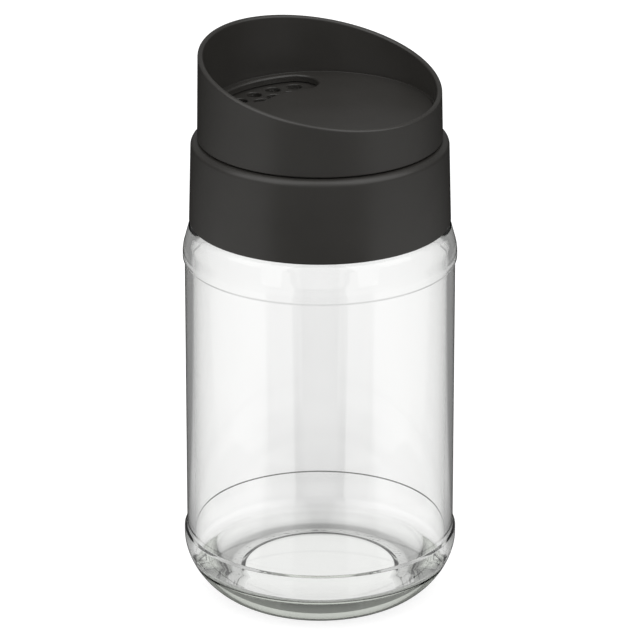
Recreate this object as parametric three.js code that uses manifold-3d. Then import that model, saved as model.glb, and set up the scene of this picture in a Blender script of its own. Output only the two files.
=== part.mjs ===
// A clear glass spice jar with a screw-on sprinkle lid.
// Millimetres, +Z up. The origin is the centre of the base, on the surface that the jar stands on.
// The glass jar, a seal ring, a screw collar and a turning dial are separate solids.
// The dial turns on the collar: its slot stands over the sieve holes, a blank place or the pour opening.

import * as THREE from 'three';
import { mergeVertices } from 'three/addons/utils/BufferGeometryUtils.js';
import Module from 'manifold-3d';

const wasm = await Module();
wasm.setup();

// Counts and fineness
const roundSteps = 60;
const heelSteps = 7;
const holeSteps = 14;
const ridgeSteps = 8;
const lugSteps = 2;
const slotArcSteps = 8;
const slotEndSteps = 7;
const arcTolerance = 0.1;

// Clearances
const runningGap = 0.3;
const overrun = 1.0;

// Glass jar, radii
const panelRadius = 35.4;
const panelWall = 2.1;
const heelStep = 0.7;
const shoulderStep = 0.5;
const neckInset = 5.4;
const neckWall = 3.2;
const shoulderWall = 2.3;
const shoulderFlat = 2.4;

// Glass jar, heights from the ground up
const heelHeight = 16.0;
const ledgeHeight = 17.9;
const panelHeight = 75.9;
const shoulderTurnHeight = 3.4;
const shoulderHeight = 10.4;
const neckHeight = 18.8;
const heelLedgeSlope = 0.45;
const shoulderLedgeSlope = 0.6;

// Glass jar, base and roundings
const heelReach = 15.9;
const heelFlatCut = 0.52;
const heelPower = 1.78;
const baseThickness = 9.1;
const insideHeelRounding = 3.5;
const bearingWidth = 2.2;
const pushUpHeight = 0.6;
const pushUpSlope = 1.2;
const pushUpRounding = 0.5;
const shoulderRounding = 2.2;
const shoulderTaper = 1.6;
const turnRounding = 4.0;
const insideTurnRounding = 4.0;
const insideShoulderRounding = 2.2;
const insideShoulderDrop = 2.0;
const insideMouthRise = 0.7;
const neckRounding = 1.2;
const rimRounding = 1.1;
const ledgeRounding = 0.2;

// Screw thread, glass ridges and collar lugs
const threadStarts = 4;
const threadLead = 16.0;
const ridgeThickness = 1.8;
const ridgeDepth = 1.2;
const ridgeTaper = 0.25;
const ridgeSpan = THREE.MathUtils.degToRad(80);
const lugSpan = THREE.MathUtils.degToRad(14);
const lugEntry = THREE.MathUtils.degToRad(4);
const ridgeTopDrop = 1.4;

// Seal ring
const sealThickness = 1.5;
const sealMouthStep = 0.7;
const sealRounding = 0.3;

// Screw collar
const skirtWall = 1.5;
const skirtFlare = 0.6;
const retainerDepth = 0.6;
const retainerHeight = 1.2;
const shelfThickness = 1.8;
const shelfMouthStep = 0.4;
const collarEdgeRounding = 1.7;
const collarFootRounding = 0.3;
const turretHeight = 6.1;
const turretWall = 1.8;
const turretRounding = 0.4;
const deckThickness = 2.0;

// Sieve holes and pour opening in the deck
const sieveHoleDiameter = 4.0;
const sieveRowSpacing = 4.8;
const sieveHoleSpacing = 6.2;
const sieveEndRoom = 1.0;
const pourOpeningInset = 0.6;

// Dial
const dialSetBack = 1.7;
const dialWall = 1.7;
const dialDraft = 0.3;
const dialFloorThickness = 1.8;
const rimMiddleHeight = 9.95;
const rimTilt = THREE.MathUtils.degToRad(11.9);
const rimHighSide = THREE.MathUtils.degToRad(138);
const dialRounding = 0.3;

// Slot in the dial's floor
const slotMargin = 2.8;
const slotWidth = 12.0;
const slotHalfSpan = THREE.MathUtils.degToRad(21.5);
const slotPlace = THREE.MathUtils.degToRad(129);

// Snap bead under the dial, and the groove round the turret that it runs in
const snapHeight = 2.3;
const snapBeadHeight = 1.2;
const snapBeadDepth = 0.75;

// Stop pin under the dial's floor, and the track in the deck that it runs in
const dialTurn = THREE.MathUtils.degToRad(120);
const stopTrackRadius = 8.0;
const stopPinDiameter = 1.8;
const stopTrackDepth = 1.2;

// Sizes that follow from the ones above
const panelBottom = ledgeHeight + heelLedgeSlope;
const panelTop = ledgeHeight + panelHeight;
const shoulderTop = panelTop + shoulderHeight;
const rimHeight = shoulderTop + neckHeight;
const neckRadius = panelRadius - neckInset;
const mouthRadius = neckRadius - neckWall;
const ridgeRadius = neckRadius + ridgeDepth;
const ridgePitch = threadLead / threadStarts;
const lugThickness = ridgePitch - ridgeThickness - 2 * runningGap;
const ridgeTopMiddle = rimHeight - ridgeTopDrop - ridgeThickness / 2;
const sealBottom = rimHeight + runningGap;
const sealTop = sealBottom + sealThickness;
const retainerRadius = ridgeRadius + runningGap;
const skirtInside = retainerRadius + retainerDepth;
const collarRadius = skirtInside + skirtWall;
const collarFoot = shoulderTop + runningGap;
const shelfBottom = sealTop + runningGap;
const shelfTop = shelfBottom + shelfThickness;
const deckTop = shelfTop + turretHeight;
const deckBottom = deckTop - deckThickness;
const dialRadius = collarRadius - dialSetBack;
const dialInside = dialRadius - dialWall;
const turretRadius = dialInside - runningGap;
const turretInside = turretRadius - turretWall;
const dialFoot = shelfTop + runningGap;
const dialFloorBottom = deckTop + runningGap;
const dialFloorTop = dialFloorBottom + dialFloorThickness;
const slotRadius = dialInside - slotMargin - slotWidth / 2;
const pourPlace = slotPlace + dialTurn;
const stopPlace = slotPlace + Math.PI;

// Outline helpers. A corner is [radius, height] or [radius, height, rounding].

function cornerArc(before, corner, after, rounding) {
  const here = new THREE.Vector2(corner[0], corner[1]);
  const back = new THREE.Vector2(before[0], before[1]).sub(here);
  const ahead = new THREE.Vector2(after[0], after[1]).sub(here);
  const halfAngle = Math.acos(THREE.MathUtils.clamp(
    back.dot(ahead) / (back.length() * ahead.length()), -1, 1)) / 2;
  const room = Math.min(back.length(), ahead.length()) / 2;
  const run = Math.min(rounding / Math.tan(halfAngle), room);
  const start = here.clone().addScaledVector(back.normalize(), run);
  const end = here.clone().addScaledVector(ahead.normalize(), run);
  const middle = back.add(ahead).normalize();
  const centre = here.clone().addScaledVector(middle, run / Math.cos(halfAngle));
  const reach = start.distanceTo(centre);
  const stepAngle = 2 * Math.acos(Math.max(1 - arcTolerance / reach, 0));
  const steps = Math.ceil((Math.PI - 2 * halfAngle) / stepAngle);
  const points = [];
  for (let step = 0; step <= steps; step += 1) {
    const spoke = start.clone().lerp(end, step / steps).sub(centre);
    points.push(spoke.setLength(reach).add(centre));
  }
  return points;
}

function outline(corners, closed) {
  const points = [];
  const last = corners.length - 1;
  corners.forEach((corner, index) => {
    const rounding = corner[2] || 0;
    const atEnd = !closed && (index === 0 || index === last);
    if (rounding === 0 || atEnd) {
      points.push(new THREE.Vector2(corner[0], corner[1]));
      return;
    }
    const before = corners[index === 0 ? last : index - 1];
    const after = corners[index === last ? 0 : index + 1];
    points.push(...cornerArc(before, corner, after, rounding));
  });
  if (closed) {
    points.push(points[0].clone());
  }
  return points;
}

// A profile turned about the Z axis. Profiles run anticlockwise, with the radius to the right.
function turned(corners, closed = false) {
  const geometry = new THREE.LatheGeometry(outline(corners, closed), roundSteps);
  geometry.rotateX(Math.PI / 2);
  return geometry;
}

function solid(geometry) {
  const bare = geometry.clone();
  bare.deleteAttribute('normal');
  bare.deleteAttribute('uv');
  const welded = mergeVertices(bare);
  return new wasm.Manifold(new wasm.Mesh({
    numProp: 3,
    vertProperties: new Float32Array(welded.attributes.position.array),
    triVerts: new Uint32Array(welded.index.array),
  }));
}

function piece(name, shape, material) {
  const { vertProperties, triVerts } = shape.getMesh();
  const geometry = new THREE.BufferGeometry();
  geometry.setAttribute('position', new THREE.BufferAttribute(vertProperties, 3));
  geometry.setIndex(new THREE.BufferAttribute(triVerts, 1));
  geometry.computeVertexNormals();
  const mesh = new THREE.Mesh(geometry, material);
  mesh.name = name;
  return mesh;
}

// A section of [radius, height] points, swept round the axis while it climbs with the thread.
function screwSweep(section, startAngle, sweep, steps, middleHeight) {
  const shape = new THREE.Shape(section.map(([radius, height]) => new THREE.Vector2(radius, height)));
  const geometry = new THREE.ExtrudeGeometry(shape, { depth: sweep, steps, bevelEnabled: false });
  const places = geometry.attributes.position;
  for (let index = 0; index < places.count; index += 1) {
    const radius = places.getX(index);
    const along = sweep - places.getZ(index);
    const angle = startAngle + along;
    const height = middleHeight + places.getY(index) + threadLead * along / (2 * Math.PI);
    places.setXYZ(index, radius * Math.cos(angle), radius * Math.sin(angle), height);
  }
  return solid(geometry);
}

// A curved slot with round ends, as a block from one height to another.
function curvedSlot(middleRadius, width, place, halfSpan, bottom, top) {
  const shape = new THREE.Shape();
  const halfWidth = width / 2;
  const points = [];
  for (let step = 0; step <= slotArcSteps; step += 1) {
    const angle = place - halfSpan + 2 * halfSpan * step / slotArcSteps;
    points.push(polar(middleRadius + halfWidth, angle));
  }
  points.push(...slotEnd(polar(middleRadius, place + halfSpan), halfWidth, place + halfSpan));
  for (let step = slotArcSteps; step >= 0; step -= 1) {
    const angle = place - halfSpan + 2 * halfSpan * step / slotArcSteps;
    points.push(polar(middleRadius - halfWidth, angle));
  }
  points.push(...slotEnd(polar(middleRadius, place - halfSpan), halfWidth, place - halfSpan + Math.PI));
  shape.setFromPoints(points);
  const geometry = new THREE.ExtrudeGeometry(shape, { depth: top - bottom, steps: 1, bevelEnabled: false });
  geometry.translate(0, 0, bottom);
  return solid(geometry);
}

function polar(radius, angle) {
  return new THREE.Vector2(radius * Math.cos(angle), radius * Math.sin(angle));
}

function slotEnd(centre, radius, startAngle) {
  const points = [];
  for (let step = 1; step < slotEndSteps; step += 1) {
    points.push(polar(radius, startAngle + Math.PI * step / slotEndSteps).add(centre));
  }
  return points;
}

function upright(diameter, place, radius, bottom, top) {
  const geometry = new THREE.CylinderGeometry(diameter / 2, diameter / 2, top - bottom, holeSteps);
  geometry.rotateX(Math.PI / 2);
  const centre = polar(radius, place);
  geometry.translate(centre.x, centre.y, (bottom + top) / 2);
  return solid(geometry);
}

// Materials
const clearGlass = new THREE.MeshStandardMaterial({
  color: '#eef4f1',
  roughness: 0.03,
  metalness: 0,
  transparent: true,
  opacity: 0.35,
});
const charcoalPlastic = new THREE.MeshStandardMaterial({ color: '#393836', roughness: 0.55, metalness: 0 });
const sealPlastic = new THREE.MeshStandardMaterial({ color: '#e9e7e1', roughness: 0.6, metalness: 0 });

// The heel's curve, from the upright side down to the bearing ring.
function heelCurve(sideRadius) {
  const points = [];
  const heelDrop = heelHeight + heelFlatCut;
  const endAngle = Math.asin((heelHeight / heelDrop) ** (heelPower / 2));
  for (let step = heelSteps; step >= 0; step -= 1) {
    const angle = endAngle * step / heelSteps;
    const inward = heelReach * (1 - Math.cos(angle) ** (2 / heelPower));
    const down = heelDrop * Math.sin(angle) ** (2 / heelPower);
    points.push([sideRadius - inward, heelHeight - down]);
  }
  return points;
}

function glassOutside() {
  const heel = heelCurve(panelRadius + heelStep);
  const bearingOuter = heel[0][0];
  const bearingInner = bearingOuter - bearingWidth;
  const shoulderRadius = panelRadius + shoulderStep;
  const flatRadius = neckRadius + shoulderFlat;
  return [
    [0, pushUpHeight],
    [bearingInner - pushUpSlope, pushUpHeight, pushUpRounding],
    [bearingInner, 0],
    ...heel,
    [panelRadius + heelStep, ledgeHeight, ledgeRounding],
    [panelRadius, panelBottom, ledgeRounding],
    [panelRadius, panelTop, ledgeRounding],
    [shoulderRadius, panelTop + shoulderLedgeSlope, ledgeRounding],
    [shoulderRadius, panelTop + shoulderTurnHeight, turnRounding],
    [flatRadius + shoulderTaper, shoulderTop, shoulderRounding],
    [neckRadius, shoulderTop, neckRounding],
    [neckRadius, rimHeight, rimRounding],
  ];
}

function glassInside() {
  const insideRadius = panelRadius - panelWall;
  const shoulderSide = neckRadius + shoulderFlat + shoulderTaper - shoulderWall;
  return [
    [mouthRadius, rimHeight, rimRounding],
    [mouthRadius, shoulderTop + insideMouthRise, neckRounding],
    [shoulderSide, shoulderTop - insideShoulderDrop, insideShoulderRounding],
    [insideRadius, panelTop + shoulderTurnHeight, insideTurnRounding],
    [insideRadius, baseThickness, insideHeelRounding],
    [0, baseThickness],
  ];
}

function makeGlassJar() {
  let shape = solid(turned([...glassOutside(), ...glassInside()]));
  const half = ridgeThickness / 2;
  const section = [
    [neckRadius - neckWall / 4, -half],
    [ridgeRadius, ridgeTaper - half],
    [ridgeRadius, half - ridgeTaper],
    [neckRadius - neckWall / 4, half],
  ];
  const rise = threadLead * ridgeSpan / (2 * Math.PI);
  for (let start = 0; start < threadStarts; start += 1) {
    const angle = 2 * Math.PI * start / threadStarts;
    shape = shape.add(screwSweep(section, angle, ridgeSpan, ridgeSteps, ridgeTopMiddle - rise));
  }
  return piece('glass_jar', shape, clearGlass);
}

function makeSealRing() {
  const inner = mouthRadius + sealMouthStep;
  const outer = skirtInside - runningGap;
  const corners = [
    [inner, sealBottom, sealRounding],
    [outer, sealBottom, sealRounding],
    [outer, sealTop, sealRounding],
    [inner, sealTop, sealRounding],
  ];
  return piece('seal_ring', solid(turned(corners, true)), sealPlastic);
}

function collarProfile() {
  const retainerTop = sealBottom - runningGap;
  const retainerBottom = retainerTop - retainerHeight;
  const snapMiddle = shelfTop + snapHeight;
  const grooveHalf = snapBeadHeight / 2 + runningGap;
  const grooveRadius = dialInside - snapBeadDepth - runningGap;
  return [
    [0, deckBottom],
    [turretInside, deckBottom, turretRounding],
    [turretInside, shelfTop],
    [mouthRadius + shelfMouthStep, shelfTop],
    [mouthRadius + shelfMouthStep, shelfBottom],
    [skirtInside, shelfBottom],
    [skirtInside, retainerTop + retainerDepth / 2],
    [retainerRadius, retainerTop],
    [retainerRadius, retainerBottom],
    [skirtInside, retainerBottom - retainerDepth],
    [skirtInside + skirtFlare, collarFoot, collarFootRounding],
    [collarRadius + skirtFlare, collarFoot, collarFootRounding],
    [collarRadius, shelfTop, collarEdgeRounding],
    [turretRadius, shelfTop],
    [turretRadius, snapMiddle - grooveHalf],
    [grooveRadius, snapMiddle - grooveHalf],
    [grooveRadius, snapMiddle + grooveHalf],
    [turretRadius, snapMiddle + grooveHalf],
    [turretRadius, deckTop, turretRounding],
    [0, deckTop],
  ];
}

// Two staggered rows of sieve holes fill the outline of the dial's slot at rest.
function sieveHoles() {
  const outerRadius = slotRadius + sieveRowSpacing / 2;
  const rowLength = 2 * slotHalfSpan * outerRadius + sieveEndRoom;
  const outerCount = Math.floor(rowLength / sieveHoleSpacing) + 1;
  const pitch = sieveHoleSpacing / outerRadius;
  const holes = [];
  for (let row = 0; row < 2; row += 1) {
    const count = outerCount - row;
    const radius = outerRadius - sieveRowSpacing * row;
    for (let hole = 0; hole < count; hole += 1) {
      const place = slotPlace + pitch * (hole - (count - 1) / 2);
      holes.push(upright(sieveHoleDiameter, place, radius, deckBottom - overrun, deckTop + overrun));
    }
  }
  return holes;
}

function makeLidCollar() {
  let shape = solid(turned(collarProfile()));
  for (const hole of sieveHoles()) {
    shape = shape.subtract(hole);
  }
  const pourWidth = slotWidth - 2 * pourOpeningInset;
  shape = shape.subtract(
    curvedSlot(slotRadius, pourWidth, pourPlace, slotHalfSpan, deckBottom - overrun, deckTop + overrun));
  const trackWidth = stopPinDiameter + 2 * runningGap;
  shape = shape.subtract(
    curvedSlot(stopTrackRadius, trackWidth, stopPlace, dialTurn, deckTop - stopTrackDepth, deckTop + overrun));

  const half = lugThickness / 2;
  const section = [
    [skirtInside + skirtWall / 2, -half],
    [skirtInside + skirtWall / 2, half],
    [neckRadius + runningGap, half - ridgeTaper],
    [neckRadius + runningGap, ridgeTaper - half],
  ].reverse();
  const rise = threadLead * ridgeSpan / (2 * Math.PI);
  const lugMiddle = ridgeTopMiddle - rise - ridgePitch / 2 + threadLead * lugEntry / (2 * Math.PI);
  for (let lug = 0; lug < threadStarts; lug += 1) {
    const angle = lugEntry + 2 * Math.PI * lug / threadStarts;
    shape = shape.add(screwSweep(section, angle, lugSpan, lugSteps, lugMiddle));
  }
  return piece('lid_collar', shape, charcoalPlastic);
}

function dialProfile() {
  const snapMiddle = shelfTop + snapHeight;
  const beadHalf = snapBeadHeight / 2;
  const cupTop = dialFloorTop + 2 * rimMiddleHeight;
  return [
    [0, dialFloorBottom],
    [dialInside, dialFloorBottom],
    [dialInside, snapMiddle + beadHalf],
    [dialInside - snapBeadDepth, snapMiddle + beadHalf / 2],
    [dialInside - snapBeadDepth, snapMiddle - beadHalf / 2],
    [dialInside, snapMiddle - beadHalf],
    [dialInside, dialFoot, dialRounding],
    [dialRadius, dialFoot, dialRounding],
    [dialRadius - dialDraft, cupTop],
    [dialInside, cupTop],
    [dialInside, dialFloorTop, dialRounding],
    [0, dialFloorTop],
  ];
}

// Everything above the slanted rim, as a block to cut away.
function aboveRim() {
  const size = 4 * dialRadius;
  const geometry = new THREE.BoxGeometry(size, size, size);
  geometry.translate(0, 0, size / 2);
  geometry.rotateY(-rimTilt);
  geometry.rotateZ(rimHighSide);
  geometry.translate(0, 0, dialFloorTop + rimMiddleHeight);
  return solid(geometry);
}

function makeDial() {
  let shape = solid(turned(dialProfile()));
  shape = shape.subtract(aboveRim());
  shape = shape.subtract(curvedSlot(
    slotRadius, slotWidth, slotPlace, slotHalfSpan, dialFloorBottom - overrun, dialFloorTop + overrun));
  const pinBottom = deckTop - stopTrackDepth + runningGap;
  shape = shape.add(upright(
    stopPinDiameter, stopPlace, stopTrackRadius, pinBottom, dialFloorBottom + dialFloorThickness / 2));
  return piece('dial', shape, charcoalPlastic);
}

const spiceJar = new THREE.Group();
spiceJar.add(makeGlassJar(), makeSealRing(), makeLidCollar(), makeDial());

export default spiceJar;
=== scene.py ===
"""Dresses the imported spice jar: a clear glass jar, a screw collar, a slanted dial and a seal ring.

Sizes are in millimetres until the vertices are written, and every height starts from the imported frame.
"""

import logging
import math
from dataclasses import dataclass, replace
from enum import Enum
from functools import cached_property
from typing import Callable, Sequence

import bpy
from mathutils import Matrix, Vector, noise


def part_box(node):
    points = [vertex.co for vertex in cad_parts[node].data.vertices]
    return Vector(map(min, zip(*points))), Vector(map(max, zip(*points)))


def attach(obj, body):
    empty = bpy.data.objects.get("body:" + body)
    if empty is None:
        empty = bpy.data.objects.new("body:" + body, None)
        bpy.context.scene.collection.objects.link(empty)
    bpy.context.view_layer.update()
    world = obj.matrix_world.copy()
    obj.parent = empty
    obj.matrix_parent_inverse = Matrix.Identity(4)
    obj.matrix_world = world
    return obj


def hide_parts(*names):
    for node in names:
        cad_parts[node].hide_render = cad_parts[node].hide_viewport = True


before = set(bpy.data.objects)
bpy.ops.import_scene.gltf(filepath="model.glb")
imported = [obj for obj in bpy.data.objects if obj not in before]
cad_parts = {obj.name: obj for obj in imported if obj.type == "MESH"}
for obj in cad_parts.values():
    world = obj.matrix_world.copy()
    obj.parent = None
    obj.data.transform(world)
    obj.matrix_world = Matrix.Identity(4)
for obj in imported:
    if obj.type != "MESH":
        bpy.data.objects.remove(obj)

LOG = logging.getLogger("spice_jar")
MM = 0.001
SPIN_STEPS = 288
ARC_STEPS = 8
SUPPORT = 0.12
CUT_OVERRUN = 1.0
CUT_FLARE_SHARE = 1.4
NOISE_MIDDLE = (0.3, 0.7)
CREASE_ANGLE = math.radians(38)

Point = tuple[float, float]
Colour = tuple[float, float, float, float]
Profile = Callable[[float], list[Point]]
Relief = Callable[[float, float, float], float]


class Body(Enum):
    """The bodies of the frame that the pieces ride on."""

    JAR = "jar"
    LINER = "liner"
    LID = "lid"
    TOP = "top"


class Slot(Enum):
    """The material slots of the record."""

    GLASS = "clear_glass"
    SEAL = "seal_plastic"
    PLASTIC = "charcoal_plastic"


class Cut(Enum):
    """The two ways to combine closed meshes."""

    TAKE = "DIFFERENCE"
    JOIN = "UNION"


@dataclass(frozen=True)
class Corner:
    """A corner of a turned profile, its rounding, and the rows on the stretch after it."""

    radius: float
    height: float
    rounding: float = 0.0
    rows: int = 1
    arc_steps: int = ARC_STEPS


@dataclass(frozen=True)
class Span:
    """The lowest and highest place of a node along Z, and its outer radius, in millimetres."""

    bottom: float
    top: float
    radius: float


def span_of(node: str) -> Span:
    """Measures a node of the frame.

    Args:
        node: The node's name.

    Returns:
        Its span in millimetres.
    """
    low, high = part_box(node)
    return Span(low[2] / MM, high[2] / MM, high[0] / MM)


def smooth_step(low: float, high: float, value: float) -> float:
    """Returns a smooth 0 to 1 as value goes from low to high."""
    share = min(max((value - low) / (high - low), 0.0), 1.0)
    return share * share * (3.0 - 2.0 * share)


def arc_round(before: Corner, corner: Corner, after: Corner) -> list[Point]:
    """Rounds one corner with an arc that touches both of its sides.

    Args:
        before: The corner before it.
        corner: The corner to round.
        after: The corner after it.

    Returns:
        The arc's points, from the first side to the second.
    """
    here = Vector((corner.radius, corner.height))
    back = Vector((before.radius, before.height)) - here
    ahead = Vector((after.radius, after.height)) - here
    half_angle = back.angle(ahead) / 2
    room = min(back.length, ahead.length) / 2
    run = min(corner.rounding / math.tan(half_angle), room)
    back.normalize()
    ahead.normalize()
    centre = here + (back + ahead).normalized() * (run / math.cos(half_angle))
    start = here + back * run - centre
    end = here + ahead * run - centre
    turn = start.angle_signed(end)
    points = []
    for step in range(corner.arc_steps + 1):
        angle = -turn * step / corner.arc_steps
        spoke = Vector((
            start.x * math.cos(angle) - start.y * math.sin(angle),
            start.x * math.sin(angle) + start.y * math.cos(angle),
        ))
        points.append((centre.x + spoke.x, centre.y + spoke.y))
    return points


def outline(corners: Sequence[Corner], closed: bool = False) -> list[Point]:
    """Turns corners into the points of a profile, with support rows beside each arc.

    Args:
        corners: The corners in order, anticlockwise with the radius to the right.
        closed: Whether the last corner joins the first.

    Returns:
        The profile's points.
    """
    count = len(corners)
    runs: list[list[Point]] = []
    for index, corner in enumerate(corners):
        at_end = not closed and index in (0, count - 1)
        if corner.rounding == 0 or at_end:
            runs.append([(corner.radius, corner.height)])
            continue
        runs.append(arc_round(corners[index - 1], corner, corners[(index + 1) % count]))
    points: list[Point] = []
    for index, run in enumerate(runs):
        points.extend(run)
        if index == count - 1 and not closed:
            break
        start, end = Vector(run[-1]), Vector(runs[(index + 1) % count][0])
        length = (end - start).length
        rows = corners[index].rows
        if rows > 0 and length > 4 * SUPPORT:
            shares = [SUPPORT / length, *(row / rows for row in range(1, rows)), 1 - SUPPORT / length]
            points.extend(tuple(start.lerp(end, share)) for share in shares)
    return points


def raised(points: Sequence[Point], angle: float, relief: Relief) -> list[Point]:
    """Moves a profile's points along their outward normals.

    Args:
        points: The profile's points.
        angle: The angle of the profile round the axis.
        relief: The height of the relief at a radius, height and angle.

    Returns:
        The moved points.
    """
    moved = []
    last = len(points) - 1
    for index, (radius, height) in enumerate(points):
        lift = relief(radius, height, angle)
        if lift == 0.0 or index in (0, last):
            moved.append((radius, height))
            continue
        before, after = points[index - 1], points[index + 1]
        along = Vector((after[0] - before[0], after[1] - before[1])).normalized()
        moved.append((radius + lift * along.y, height - lift * along.x))
    return moved


def new_object(name: str, vertices: list, faces: list) -> bpy.types.Object:
    """Makes a mesh object in the scene.

    Args:
        name: The object's name.
        vertices: Places in metres.
        faces: Vertex numbers of each face.

    Returns:
        The new object.
    """
    mesh = bpy.data.meshes.new(name)
    mesh.from_pydata(vertices, [], faces)
    mesh.update()
    made = bpy.data.objects.new(name, mesh)
    bpy.context.scene.collection.objects.link(made)
    return made


def turned(
    name: str, profile_at: Profile, closed: bool = False, steps: int = SPIN_STEPS
) -> bpy.types.Object:
    """Spins a profile round the Z axis, and lets it change with the angle.

    Args:
        name: The object's name.
        profile_at: Gives the profile's points at an angle; their number stays the same.
        closed: Whether the profile closes on itself instead of ending on the axis.
        steps: How many profiles go round.

    Returns:
        A closed mesh object.
    """
    rings = [profile_at(2 * math.pi * step / steps) for step in range(steps)]
    rows = len(rings[0])
    first, last = (0, rows) if closed else (1, rows - 1)
    vertices = []
    for step, ring in enumerate(rings):
        cosine = math.cos(2 * math.pi * step / steps) * MM
        sine = math.sin(2 * math.pi * step / steps) * MM
        vertices.extend((radius * cosine, radius * sine, height * MM) for radius, height in ring[first:last])
    kept = last - first
    faces = []
    for step in range(steps):
        here, there = step * kept, (step + 1) % steps * kept
        for row in range(kept if closed else kept - 1):
            above = (row + 1) % kept
            faces.append((here + row, there + row, there + above, here + above))
    if not closed:
        low, high = len(vertices), len(vertices) + 1
        vertices.append((0.0, 0.0, rings[0][0][1] * MM))
        vertices.append((0.0, 0.0, rings[0][-1][1] * MM))
        for step in range(steps):
            here, there = step * kept, (step + 1) % steps * kept
            faces.append((low, there, here))
            faces.append((high, here + kept - 1, there + kept - 1))
    return new_object(name, vertices, faces)


def on_circle(radius: float, angle: float, centre: Point = (0.0, 0.0)) -> Point:
    """Returns the place at an angle on a circle."""
    return centre[0] + radius * math.cos(angle), centre[1] + radius * math.sin(angle)


@dataclass(frozen=True)
class CurvedSlot:
    """The outline of a slot with round ends that follows a circle round the axis."""

    radius: float
    width: float
    place: float
    half_span: float
    arc_points: int = 28
    end_points: int = 18

    def points(self, grow: float) -> list[Point]:
        """Lists the outline anticlockwise.

        Args:
            grow: How far outside the slot the outline runs.

        Returns:
            Its points in millimetres.
        """
        half = self.width / 2 + grow
        low, high = self.place - self.half_span, self.place + self.half_span
        sweep = [low + (high - low) * step / self.arc_points for step in range(self.arc_points + 1)]
        found = [on_circle(self.radius + half, angle) for angle in sweep]
        found += self._end(high, half, high)
        found += [on_circle(self.radius - half, angle) for angle in reversed(sweep)]
        found += self._end(low, half, low + math.pi)
        return found

    def _end(self, place: float, half: float, start: float) -> list[Point]:
        """Gives one round end.

        Args:
            place: The angle of the end's centre.
            half: The end's radius.
            start: The angle at which the half circle starts.

        Returns:
            The points between its two corners.
        """
        centre = on_circle(self.radius, place)
        turns = [start + math.pi * step / self.end_points for step in range(1, self.end_points)]
        return [on_circle(half, turn, centre) for turn in turns]


@dataclass(frozen=True)
class RoundHole:
    """The outline of a round hole beside the axis."""

    radius: float
    diameter: float
    place: float
    edge_points: int = 40

    def points(self, grow: float) -> list[Point]:
        """Lists the outline anticlockwise.

        Args:
            grow: How far outside the hole the outline runs.

        Returns:
            Its points in millimetres.
        """
        centre = on_circle(self.radius, self.place)
        turns = [2 * math.pi * step / self.edge_points for step in range(self.edge_points)]
        return [on_circle(self.diameter / 2 + grow, turn, centre) for turn in turns]


def rounded_levels(bottom: float, top: float, rounding: float, steps: int = 5) -> list[Point]:
    """Lists how far a cutter grows at each height, so that the upper edge it cuts is round.

    Args:
        bottom: Where the cutter starts.
        top: The height of the face that it cuts.
        rounding: The radius of the edge.
        steps: How many steps the round edge has.

    Returns:
        Pairs of height and growth, from the bottom up.
    """
    levels = [(bottom, 0.0)]
    for step in range(steps + 1):
        angle = math.pi / 2 * step / steps
        levels.append((top - rounding + rounding * math.sin(angle), rounding * (1 - math.cos(angle))))
    levels.append((top + rounding, rounding * CUT_FLARE_SHARE))
    return levels


def cutter(name: str, shape: CurvedSlot | RoundHole, levels: Sequence[Point]) -> bpy.types.Object:
    """Stacks an outline into a block to cut with.

    Args:
        name: The object's name.
        shape: The outline.
        levels: Pairs of height and growth, from the bottom up.

    Returns:
        A closed mesh object.
    """
    vertices, faces = [], []
    for height, grow in levels:
        vertices.extend((x * MM, y * MM, height * MM) for x, y in shape.points(grow))
    count = len(vertices) // len(levels)
    for level in range(len(levels) - 1):
        for index in range(count):
            here, there = level * count + index, level * count + (index + 1) % count
            faces.append((here, there, there + count, here + count))
    faces.append(tuple(reversed(range(count))))
    faces.append(tuple(range(len(vertices) - count, len(vertices))))
    return new_object(name, vertices, faces)


def combine(target: bpy.types.Object, tools: Sequence[bpy.types.Object], how: Cut = Cut.TAKE) -> None:
    """Cuts each tool out of a piece, or joins it on, and removes the tool.

    Args:
        target: The piece to change.
        tools: Closed meshes.
        how: Whether they are taken away or joined on.
    """
    for tool in tools:
        change = target.modifiers.new("cut", "BOOLEAN")
        change.object = tool
        change.operation = how.value
        change.solver = "EXACT"
        graph = bpy.context.evaluated_depsgraph_get()
        result = bpy.data.meshes.new_from_object(target.evaluated_get(graph))
        target.modifiers.clear()
        target.data = result
        bpy.data.objects.remove(tool)


def shade(piece: bpy.types.Object) -> None:
    """Smooths a piece's rounded faces and keeps its creases and flats crisp.

    Args:
        piece: The piece.
    """
    mesh = piece.data
    mesh.shade_smooth()
    mesh.set_sharp_from_angle(angle=CREASE_ANGLE)
    weights = piece.modifiers.new("flats stay flat", "WEIGHTED_NORMAL")
    weights.keep_sharp = True


@dataclass(frozen=True)
class Grain:
    """A noise in object space: its scale per metre, its detail and its roughness."""

    scale: float
    detail: float = 2.0
    roughness: float = 0.5


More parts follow.
